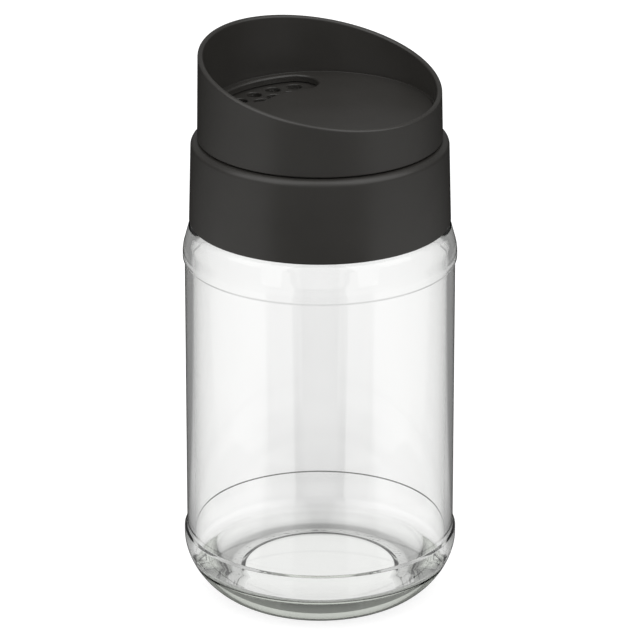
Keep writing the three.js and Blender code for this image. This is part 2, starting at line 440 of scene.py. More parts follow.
class NodeGraph:
    """A material's node tree, written in few words."""

    def __init__(
        self, name: str, tree: bpy.types.NodeTree | None = None, output: str = "ShaderNodeOutputMaterial"
    ) -> None:
        """Empties a node tree, or that of a new material.

        Args:
            name: The new material's name.
            tree: The tree to write, where it isn't a material's.
            output: The type of its output node.
        """
        if tree is None:
            self.material = bpy.data.materials.new(name)
            self.material.use_nodes = True
            tree = self.material.node_tree
        self.tree = tree
        self.tree.nodes.clear()
        self.output = self.add(output)

    def add(self, kind: str, inputs: dict | None = None, **settings: object) -> bpy.types.Node:
        """Adds a node.

        Args:
            kind: The node's type.
            inputs: Values of its input sockets, by name or number.
            settings: Values of its own properties.

        Returns:
            The node.
        """
        node = self.tree.nodes.new(kind)
        for key, value in settings.items():
            setattr(node, key, value)
        for key, value in (inputs or {}).items():
            node.inputs[key].default_value = value
        return node

    def link(self, source: bpy.types.NodeSocket, target: bpy.types.NodeSocket) -> None:
        """Links an output socket to an input socket."""
        self.tree.links.new(source, target)

    def feed(self, source: object, target: bpy.types.NodeSocket) -> None:
        """Links an output socket to an input socket, or writes a number there.

        Args:
            source: The output socket or the number.
            target: The input socket.
        """
        if isinstance(source, bpy.types.NodeSocket):
            self.link(source, target)
        else:
            target.default_value = source

    def math(
        self, operation: str, first: bpy.types.NodeSocket, second: object = 0.0
    ) -> bpy.types.NodeSocket:
        """Adds a sum or another operation.

        Args:
            operation: The operation.
            first: The first value.
            second: The second value, a socket or a number.

        Returns:
            The result.
        """
        node = self.add("ShaderNodeMath", operation=operation)
        self.link(first, node.inputs[0])
        self.feed(second, node.inputs[1])
        return node.outputs[0]

    def blend(self, share: bpy.types.NodeSocket, low: object, high: object) -> bpy.types.NodeSocket:
        """Goes from a value to another.

        Args:
            share: How far it goes, from 0 to 1.
            low: The first value, a socket or a number.
            high: The last value, a socket or a number.

        Returns:
            The value between.
        """
        node = self.add("ShaderNodeMix", data_type="FLOAT")
        self.link(share, node.inputs[0])
        self.feed(low, node.inputs[2])
        self.feed(high, node.inputs[3])
        return node.outputs[0]

    def tone(self, share: bpy.types.NodeSocket, low: Colour, high: Colour) -> bpy.types.NodeSocket:
        """Goes from a colour to another.

        Args:
            share: How far it goes, from 0 to 1.
            low: The first colour.
            high: The last colour.

        Returns:
            The colour between.
        """
        node = self.add("ShaderNodeMix", {6: low, 7: high}, data_type="RGBA")
        self.link(share, node.inputs[0])
        return node.outputs[2]

    def ramp(self, share: bpy.types.NodeSocket, stops: Sequence[Point]) -> bpy.types.NodeSocket:
        """Adds a grey ramp.

        Args:
            share: Where on the ramp, from 0 to 1.
            stops: Pairs of a place from 0 to 1 and a level.

        Returns:
            The level.
        """
        node = self.add("ShaderNodeValToRGB")
        self.link(share, node.inputs[0])
        elements = node.color_ramp.elements
        while len(elements) < len(stops):
            elements.new(1.0)
        for element, (position, level) in zip(elements, stops):
            element.position = position
            element.color = (level, level, level, 1.0)
        return node.outputs[0]

    def curve(
        self, value: bpy.types.NodeSocket, stops: Sequence[Point], reach: float, unit: float
    ) -> bpy.types.NodeSocket:
        """Adds a grey ramp with its places in a unit of their own.

        Args:
            value: The value that it follows.
            stops: Pairs of a place and a level.
            reach: The place at the ramp's end.
            unit: What one unit of the places is in the value.

        Returns:
            The level.
        """
        share = self.math("DIVIDE", value, reach * unit)
        return self.ramp(share, [(place / reach, level) for place, level in stops])

    def rise(self, value: bpy.types.NodeSocket, start: float, full: float) -> bpy.types.NodeSocket:
        """Rises from 0 to 1 and stays there.

        Args:
            value: The value that it follows.
            start: Where it leaves 0.
            full: Where it reaches 1.

        Returns:
            The share.
        """
        node = self.add("ShaderNodeMapRange", {"From Min": start, "From Max": full})
        self.link(value, node.inputs["Value"])
        return node.outputs["Result"]

    def noise(self, grain: Grain) -> bpy.types.NodeSocket:
        """Adds a noise.

        Args:
            grain: Its scale, detail and roughness.

        Returns:
            Its value.
        """
        node = self.add("ShaderNodeTexNoise", {
            "Scale": grain.scale, "Detail": grain.detail, "Roughness": grain.roughness,
        })
        self.link(self.add("ShaderNodeTexCoord").outputs["Object"], node.inputs["Vector"])
        return node.outputs["Fac"]

    def spread(self, grain: Grain, low: float, high: float) -> bpy.types.NodeSocket:
        """Spreads a noise's middle range over two values.

        Args:
            grain: The noise.
            low: The lowest result.
            high: The highest result.

        Returns:
            The result.
        """
        start, end = NOISE_MIDDLE
        node = self.add("ShaderNodeMapRange", {
            "From Min": start, "From Max": end, "To Min": low, "To Max": high,
        })
        self.link(self.noise(grain), node.inputs["Value"])
        return node.outputs["Result"]

    def bump(self, grain: Grain, strength: float, depth: float) -> bpy.types.NodeSocket:
        """Adds a bump.

        Args:
            grain: The noise that gives its height.
            strength: How strong it is, from 0 to 1.
            depth: Its depth in metres.

        Returns:
            The normal.
        """
        node = self.add("ShaderNodeBump", {"Strength": strength, "Distance": depth})
        self.link(self.noise(grain), node.inputs["Height"])
        return node.outputs["Normal"]


@dataclass(frozen=True)
class ClearGlass:
    """Soda-lime glass: colourless face on, with painted shade towards its edges, and faintly green through
    its thick base.
    """

    tint: Colour = (0.72, 0.79, 0.66, 1.0)
    density: float = 9.0
    refraction: float = 1.51
    face_white: Colour = (1.0, 1.0, 1.0, 1.0)
    # Painted shade: the glass's colour turns grey towards its edges, where the view grazes it.
    painted_edge_shade: Colour = (0.93, 0.93, 0.925, 1.0)
    painted_edge_shade_blend: float = 0.35
    ripples: Grain = Grain(28.0, 1.0)
    ripple_strength: float = 0.35
    ripple_depth: float = 0.00004

    def material(self) -> bpy.types.Material:
        """Builds the material.

        Returns:
            The material.
        """
        graph = NodeGraph("clear_glass")
        surface = graph.add("ShaderNodeBsdfPrincipled", {
            "Roughness": 0.0, "IOR": self.refraction, "Transmission Weight": 1.0,
        })
        # Painted shade towards the edges: the colour goes from white face on to grey where the view grazes
        # the glass.
        facing = graph.add("ShaderNodeLayerWeight", {"Blend": self.painted_edge_shade_blend})
        colour = graph.tone(facing.outputs["Facing"], self.face_white, self.painted_edge_shade)
        graph.link(colour, surface.inputs["Base Color"])
        ripples = graph.bump(self.ripples, self.ripple_strength, self.ripple_depth)
        graph.link(ripples, surface.inputs["Normal"])
        depth = graph.add("ShaderNodeVolumeAbsorption", {"Color": self.tint, "Density": self.density})
        graph.link(surface.outputs[0], graph.output.inputs["Surface"])
        graph.link(depth.outputs[0], graph.output.inputs["Volume"])
        return graph.material


@dataclass(frozen=True)
class MouldedPlastic:
    """Charcoal plastic with the fine even grain of a spark-eroded mould."""

    refraction: float = 1.49
    dark: Colour = (0.0300, 0.0284, 0.0256, 1.0)
    light: Colour = (0.0345, 0.0326, 0.0296, 1.0)
    clouds: Grain = Grain(60.0, 3.0)
    rough_low: float = 0.31
    rough_high: float = 0.36
    rough_spots: Grain = Grain(180.0, 4.0)
    grain: Grain = Grain(2600.0, 3.0, 0.6)
    grain_strength: float = 0.5
    grain_depth: float = 0.000018

    def material(self) -> bpy.types.Material:
        """Builds the material.

        Returns:
            The material.
        """
        graph = NodeGraph("charcoal_plastic")
        surface = graph.add("ShaderNodeBsdfPrincipled", {"IOR": self.refraction})
        colour = graph.tone(graph.spread(self.clouds, 0.0, 1.0), self.dark, self.light)
        graph.link(colour, surface.inputs["Base Color"])
        roughness = graph.spread(self.rough_spots, self.rough_low, self.rough_high)
        graph.link(roughness, surface.inputs["Roughness"])
        grain = graph.bump(self.grain, self.grain_strength, self.grain_depth)
        graph.link(grain, surface.inputs["Normal"])
        graph.link(surface.outputs[0], graph.output.inputs["Surface"])
        return graph.material


@dataclass(frozen=True)
class LinerPlastic:
    """Soft milky plastic of the seal ring."""

    colour: Colour = (0.80, 0.79, 0.75, 1.0)
    refraction: float = 1.45
    milkiness: float = 0.2
    light_reach: float = 0.001
    rough_low: float = 0.42
    rough_high: float = 0.6
    rough_spots: Grain = Grain(300.0, 3.0)
    grain: Grain = Grain(1500.0)
    grain_strength: float = 0.3
    grain_depth: float = 0.00002

    def material(self) -> bpy.types.Material:
        """Builds the material.

        Returns:
            The material.
        """
        graph = NodeGraph("seal_plastic")
        surface = graph.add("ShaderNodeBsdfPrincipled", {
            "Base Color": self.colour, "IOR": self.refraction,
            "Subsurface Weight": self.milkiness, "Subsurface Scale": self.light_reach,
        })
        roughness = graph.spread(self.rough_spots, self.rough_low, self.rough_high)
        graph.link(roughness, surface.inputs["Roughness"])
        grain = graph.bump(self.grain, self.grain_strength, self.grain_depth)
        graph.link(grain, surface.inputs["Normal"])
        graph.link(surface.outputs[0], graph.output.inputs["Surface"])
        return graph.material


def dress(piece: bpy.types.Object, node: str, body: Body, finish: bpy.types.Material) -> None:
    """Gives a piece its finish and its body, and hides the frame's node that it stands for.

    Args:
        piece: The piece.
        node: The frame's node that it replaces.
        body: The body that it rides on.
        finish: The material.
    """
    piece.data.materials.clear()
    piece.data.materials.append(finish)
    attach(piece, body.value)
    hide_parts(node)


@dataclass
class Thread:
    """The neck's screw thread: ridges on the glass and lugs in the collar that run under them."""

    rim_height: float
    neck_radius: float = 30.0
    starts: int = 4
    lead: float = 16.0
    ridge_depth: float = 1.2
    ridge_thickness: float = 1.8
    ridge_top_drop: float = 1.4
    ridge_span: float = math.radians(80)
    lug_span: float = math.radians(14)
    lug_entry: float = math.radians(4)
    gap: float = 0.3
    flank: float = 0.6
    end_fade: float = math.radians(3.5)

    @property
    def ridge_start(self) -> float:
        """The height of a ridge's middle where it starts."""
        top = self.rim_height - self.ridge_top_drop - self.ridge_thickness / 2
        return top - self._climb(self.ridge_span)

    def ridge(self, height: float, angle: float) -> float:
        """Returns how far the glass ridges stand out at a height and an angle."""
        mark = self._mark(height, angle, 0.0, self.ridge_span, self.ridge_start, self.ridge_thickness)
        return self.ridge_depth * mark

    def lug(self, height: float, angle: float, depth: float) -> float:
        """Gives the collar's lugs.

        Args:
            height: The height to look at.
            angle: The angle to look at.
            depth: How far a whole lug stands in.

        Returns:
            How far the plastic stands in there.
        """
        pitch = self.lead / self.starts
        thickness = pitch - self.ridge_thickness - 2 * self.gap
        middle = self.ridge_start - pitch / 2 + self._climb(self.lug_entry)
        return depth * self._mark(height, angle, self.lug_entry, self.lug_span, middle, thickness)

    def _climb(self, sweep: float) -> float:
        """Returns how far the thread climbs in a sweep."""
        return self.lead * sweep / (2 * math.pi)

    def _mark(
        self, height: float, angle: float, entry: float, span: float, middle: float, thick: float
    ) -> float:
        """Returns 1 on a thread mark, 0 beside it and a soft step between.

        Args:
            height: The height to look at.
            angle: The angle to look at.
            entry: Where the first mark starts.
            span: How far each mark goes round.
            middle: The height of a mark's middle at its start.
            thick: The mark's thickness.

        Returns:
            A number from 0 to 1.
        """
        along = (angle - entry) % (2 * math.pi / self.starts)
        if along > span:
            return 0.0
        off = abs(height - middle - self._climb(along))
        flank = 1.0 - smooth_step(thick / 2 - self.flank, thick / 2, off)
        ends = smooth_step(0.0, self.end_fade, along) * smooth_step(0.0, self.end_fade, span - along)
        return flank * ends


@dataclass
class GlassJar:
    """The moulded glass jar: heel, panel between two ledges, shoulder and threaded neck."""

    span: Span
    thread: Thread
    steps: int = 360
    wall: float = 2.1
    heel_step: float = 0.7
    heel_height: float = 16.0
    heel_flat_cut: float = 0.52
    heel_reach: float = 15.9
    heel_power: float = 1.78
    heel_rows: int = 44
    ledge_height: float = 17.9
    ledge_slope: float = 0.5
    ledge_rounding: float = 0.2
    panel_height: float = 75.9
    panel_rows: int = 6
    shoulder_step: float = 0.5
    shoulder_slope: float = 0.75
    shoulder_ledge_rounding: float = 0.35
    shoulder_height: float = 10.4
    shoulder_turn: float = 3.4
    shoulder_turn_rounding: float = 16.0
    shoulder_taper: float = 1.6
    shoulder_flat: float = 2.4
    shoulder_rounding: float = 2.2
    shoulder_wall: float = 2.3
    inside_turn_rounding: float = 12.0
    inside_shoulder_drop: float = 2.0
    neck_foot_rounding: float = 1.2
    neck_wall: float = 3.2
    neck_rows: int = 112
    inside_mouth_rise: float = 0.7
    mouth_rows: int = 8
    rim_rounding: float = 1.1
    base_thickness: float = 9.1
    inside_heel_rounding: float = 2.6
    bearing_width: float = 2.2
    bearing_edge: float = 0.2
    bearing_rounding: float = 0.35
    bearing_rows: int = 12
    push_up: float = 0.6
    push_up_slope: float = 1.2
    push_up_rounding: float = 0.5
    thread_zone: float = 9.0
    thread_margin: float = 0.01
    stipple_size: float = 0.7
    stipple_depth: float = 0.12
    stipple_width: float = 2.8
    stipple_height: float = 0.3
    stipple_inner_fade: float = 0.4
    stipple_outer_fade: float = 0.5
    coarse_share: float = 0.5
    fine_share: float = 0.3
    fine_scale: float = 2.3

    @property
    def panel_radius(self) -> float:
        """The outer radius of the panel between the ledges."""
        return self.span.radius - self.heel_step

    @property
    def panel_top(self) -> float:
        """The height of the panel's upper end."""
        return self.ledge_height + self.panel_height

    @property
    def shoulder_top(self) -> float:
        """The height at which the shoulder meets the neck."""
        return self.panel_top + self.shoulder_height

    @property
    def shoulder_edge(self) -> float:
        """The radius at which the shoulder's side turns inwards."""
        return self.thread.neck_radius + self.shoulder_flat + self.shoulder_taper

    @cached_property
    def bearing_inner(self) -> float:
        """The inner radius of the bearing ring."""
        return self.heel()[0].radius - self.bearing_width

    def build(self) -> bpy.types.Object:
        """Builds the jar's mesh.

        Returns:
            The object.
        """
        profile = outline(self.outside() + self.inside())
        jar = turned("jar_glass", lambda angle: raised(profile, angle, self.relief), steps=self.steps)
        shade(jar)
        return jar

    def heel(self) -> list[Corner]:
        """Gives the heel's curve.

        Returns:
            Its points, from the bearing ring up to the side.
        """
        drop = self.heel_height + self.heel_flat_cut
        end = math.asin((self.heel_height / drop) ** (self.heel_power / 2))
        found = []
        for row in range(self.heel_rows, -1, -1):
            angle = end * row / self.heel_rows
            inward = self.heel_reach * (1 - math.cos(angle) ** (2 / self.heel_power))
            down = drop * math.sin(angle) ** (2 / self.heel_power)
            found.append(Corner(self.span.radius - inward, self.heel_height - down, rows=0))
        return found

    def outside(self) -> list[Corner]:
        """Gives the outside.

        Returns:
            Its corners, from the middle of the base up to the rim.
        """
        heel = self.heel()
        bearing = heel[0].radius
        shoulder = self.panel_radius + self.shoulder_step
        ledge = self.shoulder_ledge_rounding
        neck = self.thread.neck_radius
        return [
            Corner(0, self.push_up, rows=4),
            Corner(self.bearing_inner - self.push_up_slope, self.push_up, self.push_up_rounding),
            Corner(self.bearing_inner, 0, self.bearing_rounding, rows=self.bearing_rows),
            Corner(bearing - self.bearing_edge, 0, rows=0),
            *heel,
            Corner(self.span.radius, self.ledge_height, self.ledge_rounding),
            Corner(
                self.panel_radius, self.ledge_height + self.ledge_slope, self.ledge_rounding,
                rows=self.panel_rows,
            ),
            Corner(self.panel_radius, self.panel_top, ledge),
            Corner(shoulder, self.panel_top + self.shoulder_slope, ledge),
            Corner(shoulder, self.panel_top + self.shoulder_turn, self.shoulder_turn_rounding, arc_steps=16),
            Corner(self.shoulder_edge, self.shoulder_top, self.shoulder_rounding),
            Corner(neck, self.shoulder_top, self.neck_foot_rounding, rows=self.neck_rows),
            Corner(neck, self.span.top, self.rim_rounding),
        ]

    def inside(self) -> list[Corner]:
        """Gives the inside.

        Returns:
            Its corners, from the rim down to the middle of the floor.
        """
        mouth = self.thread.neck_radius - self.neck_wall
        side = self.panel_radius - self.wall
        return [
            Corner(mouth, self.span.top, self.rim_rounding, rows=self.mouth_rows),
            Corner(mouth, self.shoulder_top + self.inside_mouth_rise, self.neck_foot_rounding, rows=2),
            Corner(
                self.shoulder_edge - self.shoulder_wall, self.shoulder_top - self.inside_shoulder_drop,
                self.shoulder_rounding, arc_steps=12,
            ),
            Corner(
                side, self.panel_top + self.shoulder_turn, self.inside_turn_rounding,
                rows=self.panel_rows, arc_steps=12,
            ),
            Corner(side, self.base_thickness, self.inside_heel_rounding, rows=8, arc_steps=32),
            Corner(0, self.base_thickness),
        ]

    def relief(self, radius: float, height: float, angle: float) -> float:
        """Gives the thread ridges and the stippled bearing ring.

        Args:
            radius: The radius of a point of the profile.
            height: Its height.
            angle: Its angle round the axis.

        Returns:
            How far the glass stands out there.
        """
        on_neck = radius > self.thread.neck_radius - self.thread_margin
        if on_neck and height > self.span.top - self.thread_zone:
            return self.thread.ridge(height, angle)
        inner = self.bearing_inner
        outer = inner + self.stipple_width
        if height < self.stipple_height and inner < radius < outer:
            place = Vector((*on_circle(radius, angle), 0.0)) / self.stipple_size
            coarse = 0.5 + self.coarse_share * noise.noise(place)
            dots = coarse + self.fine_share * noise.noise(place * self.fine_scale)
            fade_in = smooth_step(0.0, self.stipple_inner_fade, radius - inner)
            fade_out = smooth_step(0.0, self.stipple_outer_fade, outer - radius)
            return -self.stipple_depth * dots * (fade_in * fade_out)
        return 0.0


@dataclass
class SealRing:
    """The soft ring between the neck's rim and the collar's shelf."""

    span: Span
    inner: float = 27.5
    rounding: float = 0.3
    lip: float = 0.9
    groove_width: float = 0.5
    groove_depth: float = 0.25

    def build(self) -> bpy.types.Object:
        """Builds the ring's mesh.

        Returns:
            The object.
        """
        low, high, outer = self.span.bottom, self.span.top, self.span.radius
        groove_outer = outer - self.lip
        groove_inner = groove_outer - self.groove_width
        depth = self.groove_depth
        corners = [
            Corner(self.inner, low, self.rounding),
            Corner(groove_inner - depth, low, depth / 2),
            Corner(groove_inner, low + depth, depth / 2),
            Corner(groove_outer, low + depth, depth / 2),
            Corner(groove_outer + depth, low, depth / 2),
            Corner(outer, low, self.rounding),
            Corner(outer, high, self.rounding),
            Corner(self.inner, high, self.rounding),
        ]
        profile = outline(corners, closed=True)
        ring = turned("seal_ring_soft", lambda angle: profile, closed=True)
        shade(ring)
        return ring


@dataclass
class ScrewCollar:
    """The screw collar with its skirt, shelf, turret and sieve deck."""

    span: Span
    thread: Thread
    slot: CurvedSlot
    flare: float = 0.6
    skirt_wall: float = 1.5
    skirt_rows: int = 10
    foot_rounding: float = 0.35
    retainer_depth: float = 0.6
    retainer_height: float = 1.2
    retainer_rounding: float = 0.1
    turret_height: float = 6.1
    shelf_thickness: float = 1.8
    shelf_inside: float = 27.2
    turret_radius: float = 29.9
    turret_inside: float = 28.1
    deck_thickness: float = 2.0
    deck_rounding: float = 0.4
    under_deck_rounding: float = 0.6
    edge_rounding: float = 1.7
    inside_rounding: float = 0.2
    seat_rounding: float = 0.3
    groove_middle: float = 2.3
    groove_half: float = 0.9
    groove_depth: float = 0.75
    groove_rounding: float = 0.15
    lug_rows: int = 60
    lug_top_gap: float = 4.0
    lug_margin: float = 0.05
    pour_width: float = 10.8
    dial_turn: float = math.radians(120)
    row_spacing: float = 4.8
    hole_diameter: float = 4.0
    hole_spacing: float = 6.2
    hole_rows: int = 2
    outer_holes: int = 4
    hole_rounding: float = 0.25
    track_radius: float = 8.0
    track_width: float = 2.4
    track_depth: float = 1.2
    track_rounding: float = 0.15

    @property
    def shelf_top(self) -> float:
        """The height of the shelf under the dial's foot."""
        return self.span.top - self.turret_height

    @property
    def shelf_bottom(self) -> float:
        """The height of the shelf's underside, over the seal ring."""
        return self.shelf_top - self.shelf_thickness

    def build(self) -> bpy.types.Object:
        """Builds the collar's mesh.

        Returns:
            The object.
        """
        profile = outline(self.corners())
        collar = turned("collar_shell", lambda angle: raised(profile, angle, self.relief))
        combine(collar, self.cutters())
        shade(collar)
        return collar

    def corners(self) -> list[Corner]:
        """Gives the collar's profile.

        Returns:
            Its corners, from the deck's underside round to its top.
        """
        deck_bottom = self.span.top - self.deck_thickness
        outer = self.span.radius - self.flare
        inner = outer - self.skirt_wall
        retainer = inner - self.retainer_depth
        retainer_top = self.thread.rim_height
        retainer_bottom = retainer_top - self.retainer_height
        low, high = (self.shelf_top + self.groove_middle + side * self.groove_half for side in (-1, 1))
        groove = self.turret_radius - self.groove_depth
        return [
            Corner(0, deck_bottom, rows=4),
            Corner(self.turret_inside, deck_bottom, self.under_deck_rounding),
            Corner(self.turret_inside, self.shelf_top, self.inside_rounding),
            Corner(self.shelf_inside, self.shelf_top, self.inside_rounding),
            Corner(self.shelf_inside, self.shelf_bottom, self.inside_rounding),
            Corner(inner, self.shelf_bottom, self.seat_rounding),
            Corner(inner, retainer_top + self.retainer_depth / 2, self.retainer_rounding),
            Corner(retainer, retainer_top, self.inside_rounding),
            Corner(retainer, retainer_bottom, self.inside_rounding),
            Corner(inner, retainer_bottom - self.retainer_depth, self.seat_rounding, rows=self.lug_rows),
            Corner(inner + self.flare, self.span.bottom, self.seat_rounding),
            Corner(self.span.radius, self.span.bottom, self.foot_rounding, rows=self.skirt_rows),
            Corner(outer, self.shelf_top, self.edge_rounding, arc_steps=16),
            Corner(self.turret_radius, self.shelf_top, self.groove_rounding),
            Corner(self.turret_radius, low, self.groove_rounding),
            Corner(groove, low, self.groove_rounding),
            Corner(groove, high, self.groove_rounding),
            Corner(self.turret_radius, high, self.groove_rounding),
            Corner(self.turret_radius, self.span.top, self.deck_rounding, rows=4),
            Corner(0, self.span.top),
        ]

    def relief(self, radius: float, height: float, angle: float) -> float:
        """Gives the lugs inside the skirt.

        Args:
            radius: The radius of a point of the profile.
            height: Its height.
            angle: Its angle round the axis.

        Returns:
            How far the plastic stands in there.
        """
        inner = self.span.radius - self.skirt_wall
        on_skirt = inner - self.flare - self.lug_margin <= radius <= inner + self.lug_margin
        if not on_skirt or height > self.shelf_bottom - self.lug_top_gap:
            return 0.0
        return self.thread.lug(height, angle, radius - self.thread.neck_radius - self.thread.gap)

    def cutters(self) -> list[bpy.types.Object]:
        """Makes the blocks that cut the sieve holes, the pour opening and the stop track.

        Returns:
            The blocks.
        """
        deck = self.span.top
        through = rounded_levels(deck - self.deck_thickness - CUT_OVERRUN, deck, self.hole_rounding)
        outer = self.slot.radius + self.row_spacing / 2
        pitch = self.hole_spacing / outer
        tools = []
        for row in range(self.hole_rows):
            count = self.outer_holes - row
            for hole in range(count):
                place = self.slot.place + pitch * (hole - (count - 1) / 2)
                shape = RoundHole(outer - self.row_spacing * row, self.hole_diameter, place)
                tools.append(cutter("sieve_hole", shape, through))
        pour = replace(self.slot, width=self.pour_width, place=self.slot.place + self.dial_turn)
        tools.append(cutter("pour_opening", pour, through))
        track = CurvedSlot(self.track_radius, self.track_width, self.slot.place + math.pi, self.dial_turn)
        track_levels = rounded_levels(deck - self.track_depth, deck, self.track_rounding)
        tools.append(cutter("stop_track", track, track_levels))
        return tools


@dataclass
class SlantedDial:
    """The turning top: a cup with a slanted rim, one curved slot and a snap bead under its skirt."""

    span: Span
    deck: float
    slot: CurvedSlot
    draft: float = 0.3
    inside: float = 30.2
    gap: float = 0.3
    floor_thickness: float = 1.8
    rim_middle: float = 9.95
    rim_tilt: float = math.radians(11.9)
    high_side: float = math.radians(138)
    rim_rounding: float = 0.6
    floor_rounding: float = 0.1
    foot_rounding: float = 0.35
    inside_rounding: float = 0.2
    snap_drop: float = 3.8
    bead_half: float = 0.6
    bead_depth: float = 0.75
    slot_rounding: float = 0.6
    slot_steps: int = 8
    crease_width: float = 0.5
    crease_depth: float = 0.35
    pin: RoundHole = RoundHole(8.0, 1.8, math.radians(309))
    pin_reach: float = 0.9
    skirt_rows: int = 8
    cup_rows: int = 6
    floor_rows: int = 6

    @property
    def floor_bottom(self) -> float:
        """The height of the floor's underside, over the deck."""
        return self.deck + self.gap

    @property
    def floor_top(self) -> float:
        """The height of the cup's floor."""
        return self.floor_bottom + self.floor_thickness

    def build(self) -> bpy.types.Object:
        """Builds the dial's mesh.

        Returns:
            The object.
        """
        dial = turned("dial_cup", lambda angle: outline(self.corners(angle)))
        low = self.floor_bottom - CUT_OVERRUN
        levels = rounded_levels(low, self.floor_top, self.slot_rounding, self.slot_steps)
        combine(dial, [cutter("dial_slot", self.slot, levels)])
        tip = self.deck - self.pin_reach
        pin_levels = [
            (tip, -self.foot_rounding), (tip + self.foot_rounding, 0.0), (self.floor_bottom + self.gap, 0.0),
        ]
        combine(dial, [cutter("stop_pin", self.pin, pin_levels)], Cut.JOIN)
        shade(dial)
        return dial

    def rim(self, radius: float, angle: float) -> float:
        """Returns the rim's height at a radius and an angle."""
        rise = math.tan(self.rim_tilt) * radius * math.cos(angle - self.high_side)
        return self.floor_top + self.rim_middle + rise

    def corners(self, angle: float) -> list[Corner]:
        """Gives the dial's profile.

        Args:
            angle: The angle round the axis.

        Returns:
            Its corners there, from the floor's underside round to its top.
        """
        foot = self.span.radius
        top = foot - self.draft
        bead = self.inside - self.bead_depth
        middle, half = self.deck - self.snap_drop, self.bead_half
        crease = self.floor_top - self.crease_depth
        return [
            Corner(0, self.floor_bottom, rows=4),
            Corner(self.inside, self.floor_bottom, self.inside_rounding),
            Corner(self.inside, middle + half, self.inside_rounding),
            Corner(bead, middle + half / 2, self.inside_rounding),
            Corner(bead, middle - half / 2, self.inside_rounding),
            Corner(self.inside, middle - half, self.inside_rounding),
            Corner(self.inside, self.span.bottom, self.foot_rounding),
            Corner(foot, self.span.bottom, self.foot_rounding, rows=self.skirt_rows),
            Corner(top, self.rim(top, angle), self.rim_rounding),
            Corner(self.inside, self.rim(self.inside, angle), self.rim_rounding, rows=self.cup_rows),
            Corner(self.inside, crease, self.floor_rounding),
            Corner(self.inside - self.crease_width, crease, self.floor_rounding),
            Corner(
                self.inside - 2 * self.crease_width, self.floor_top, self.floor_rounding,
                rows=self.floor_rows,
            ),
            Corner(0, self.floor_top),
        ]


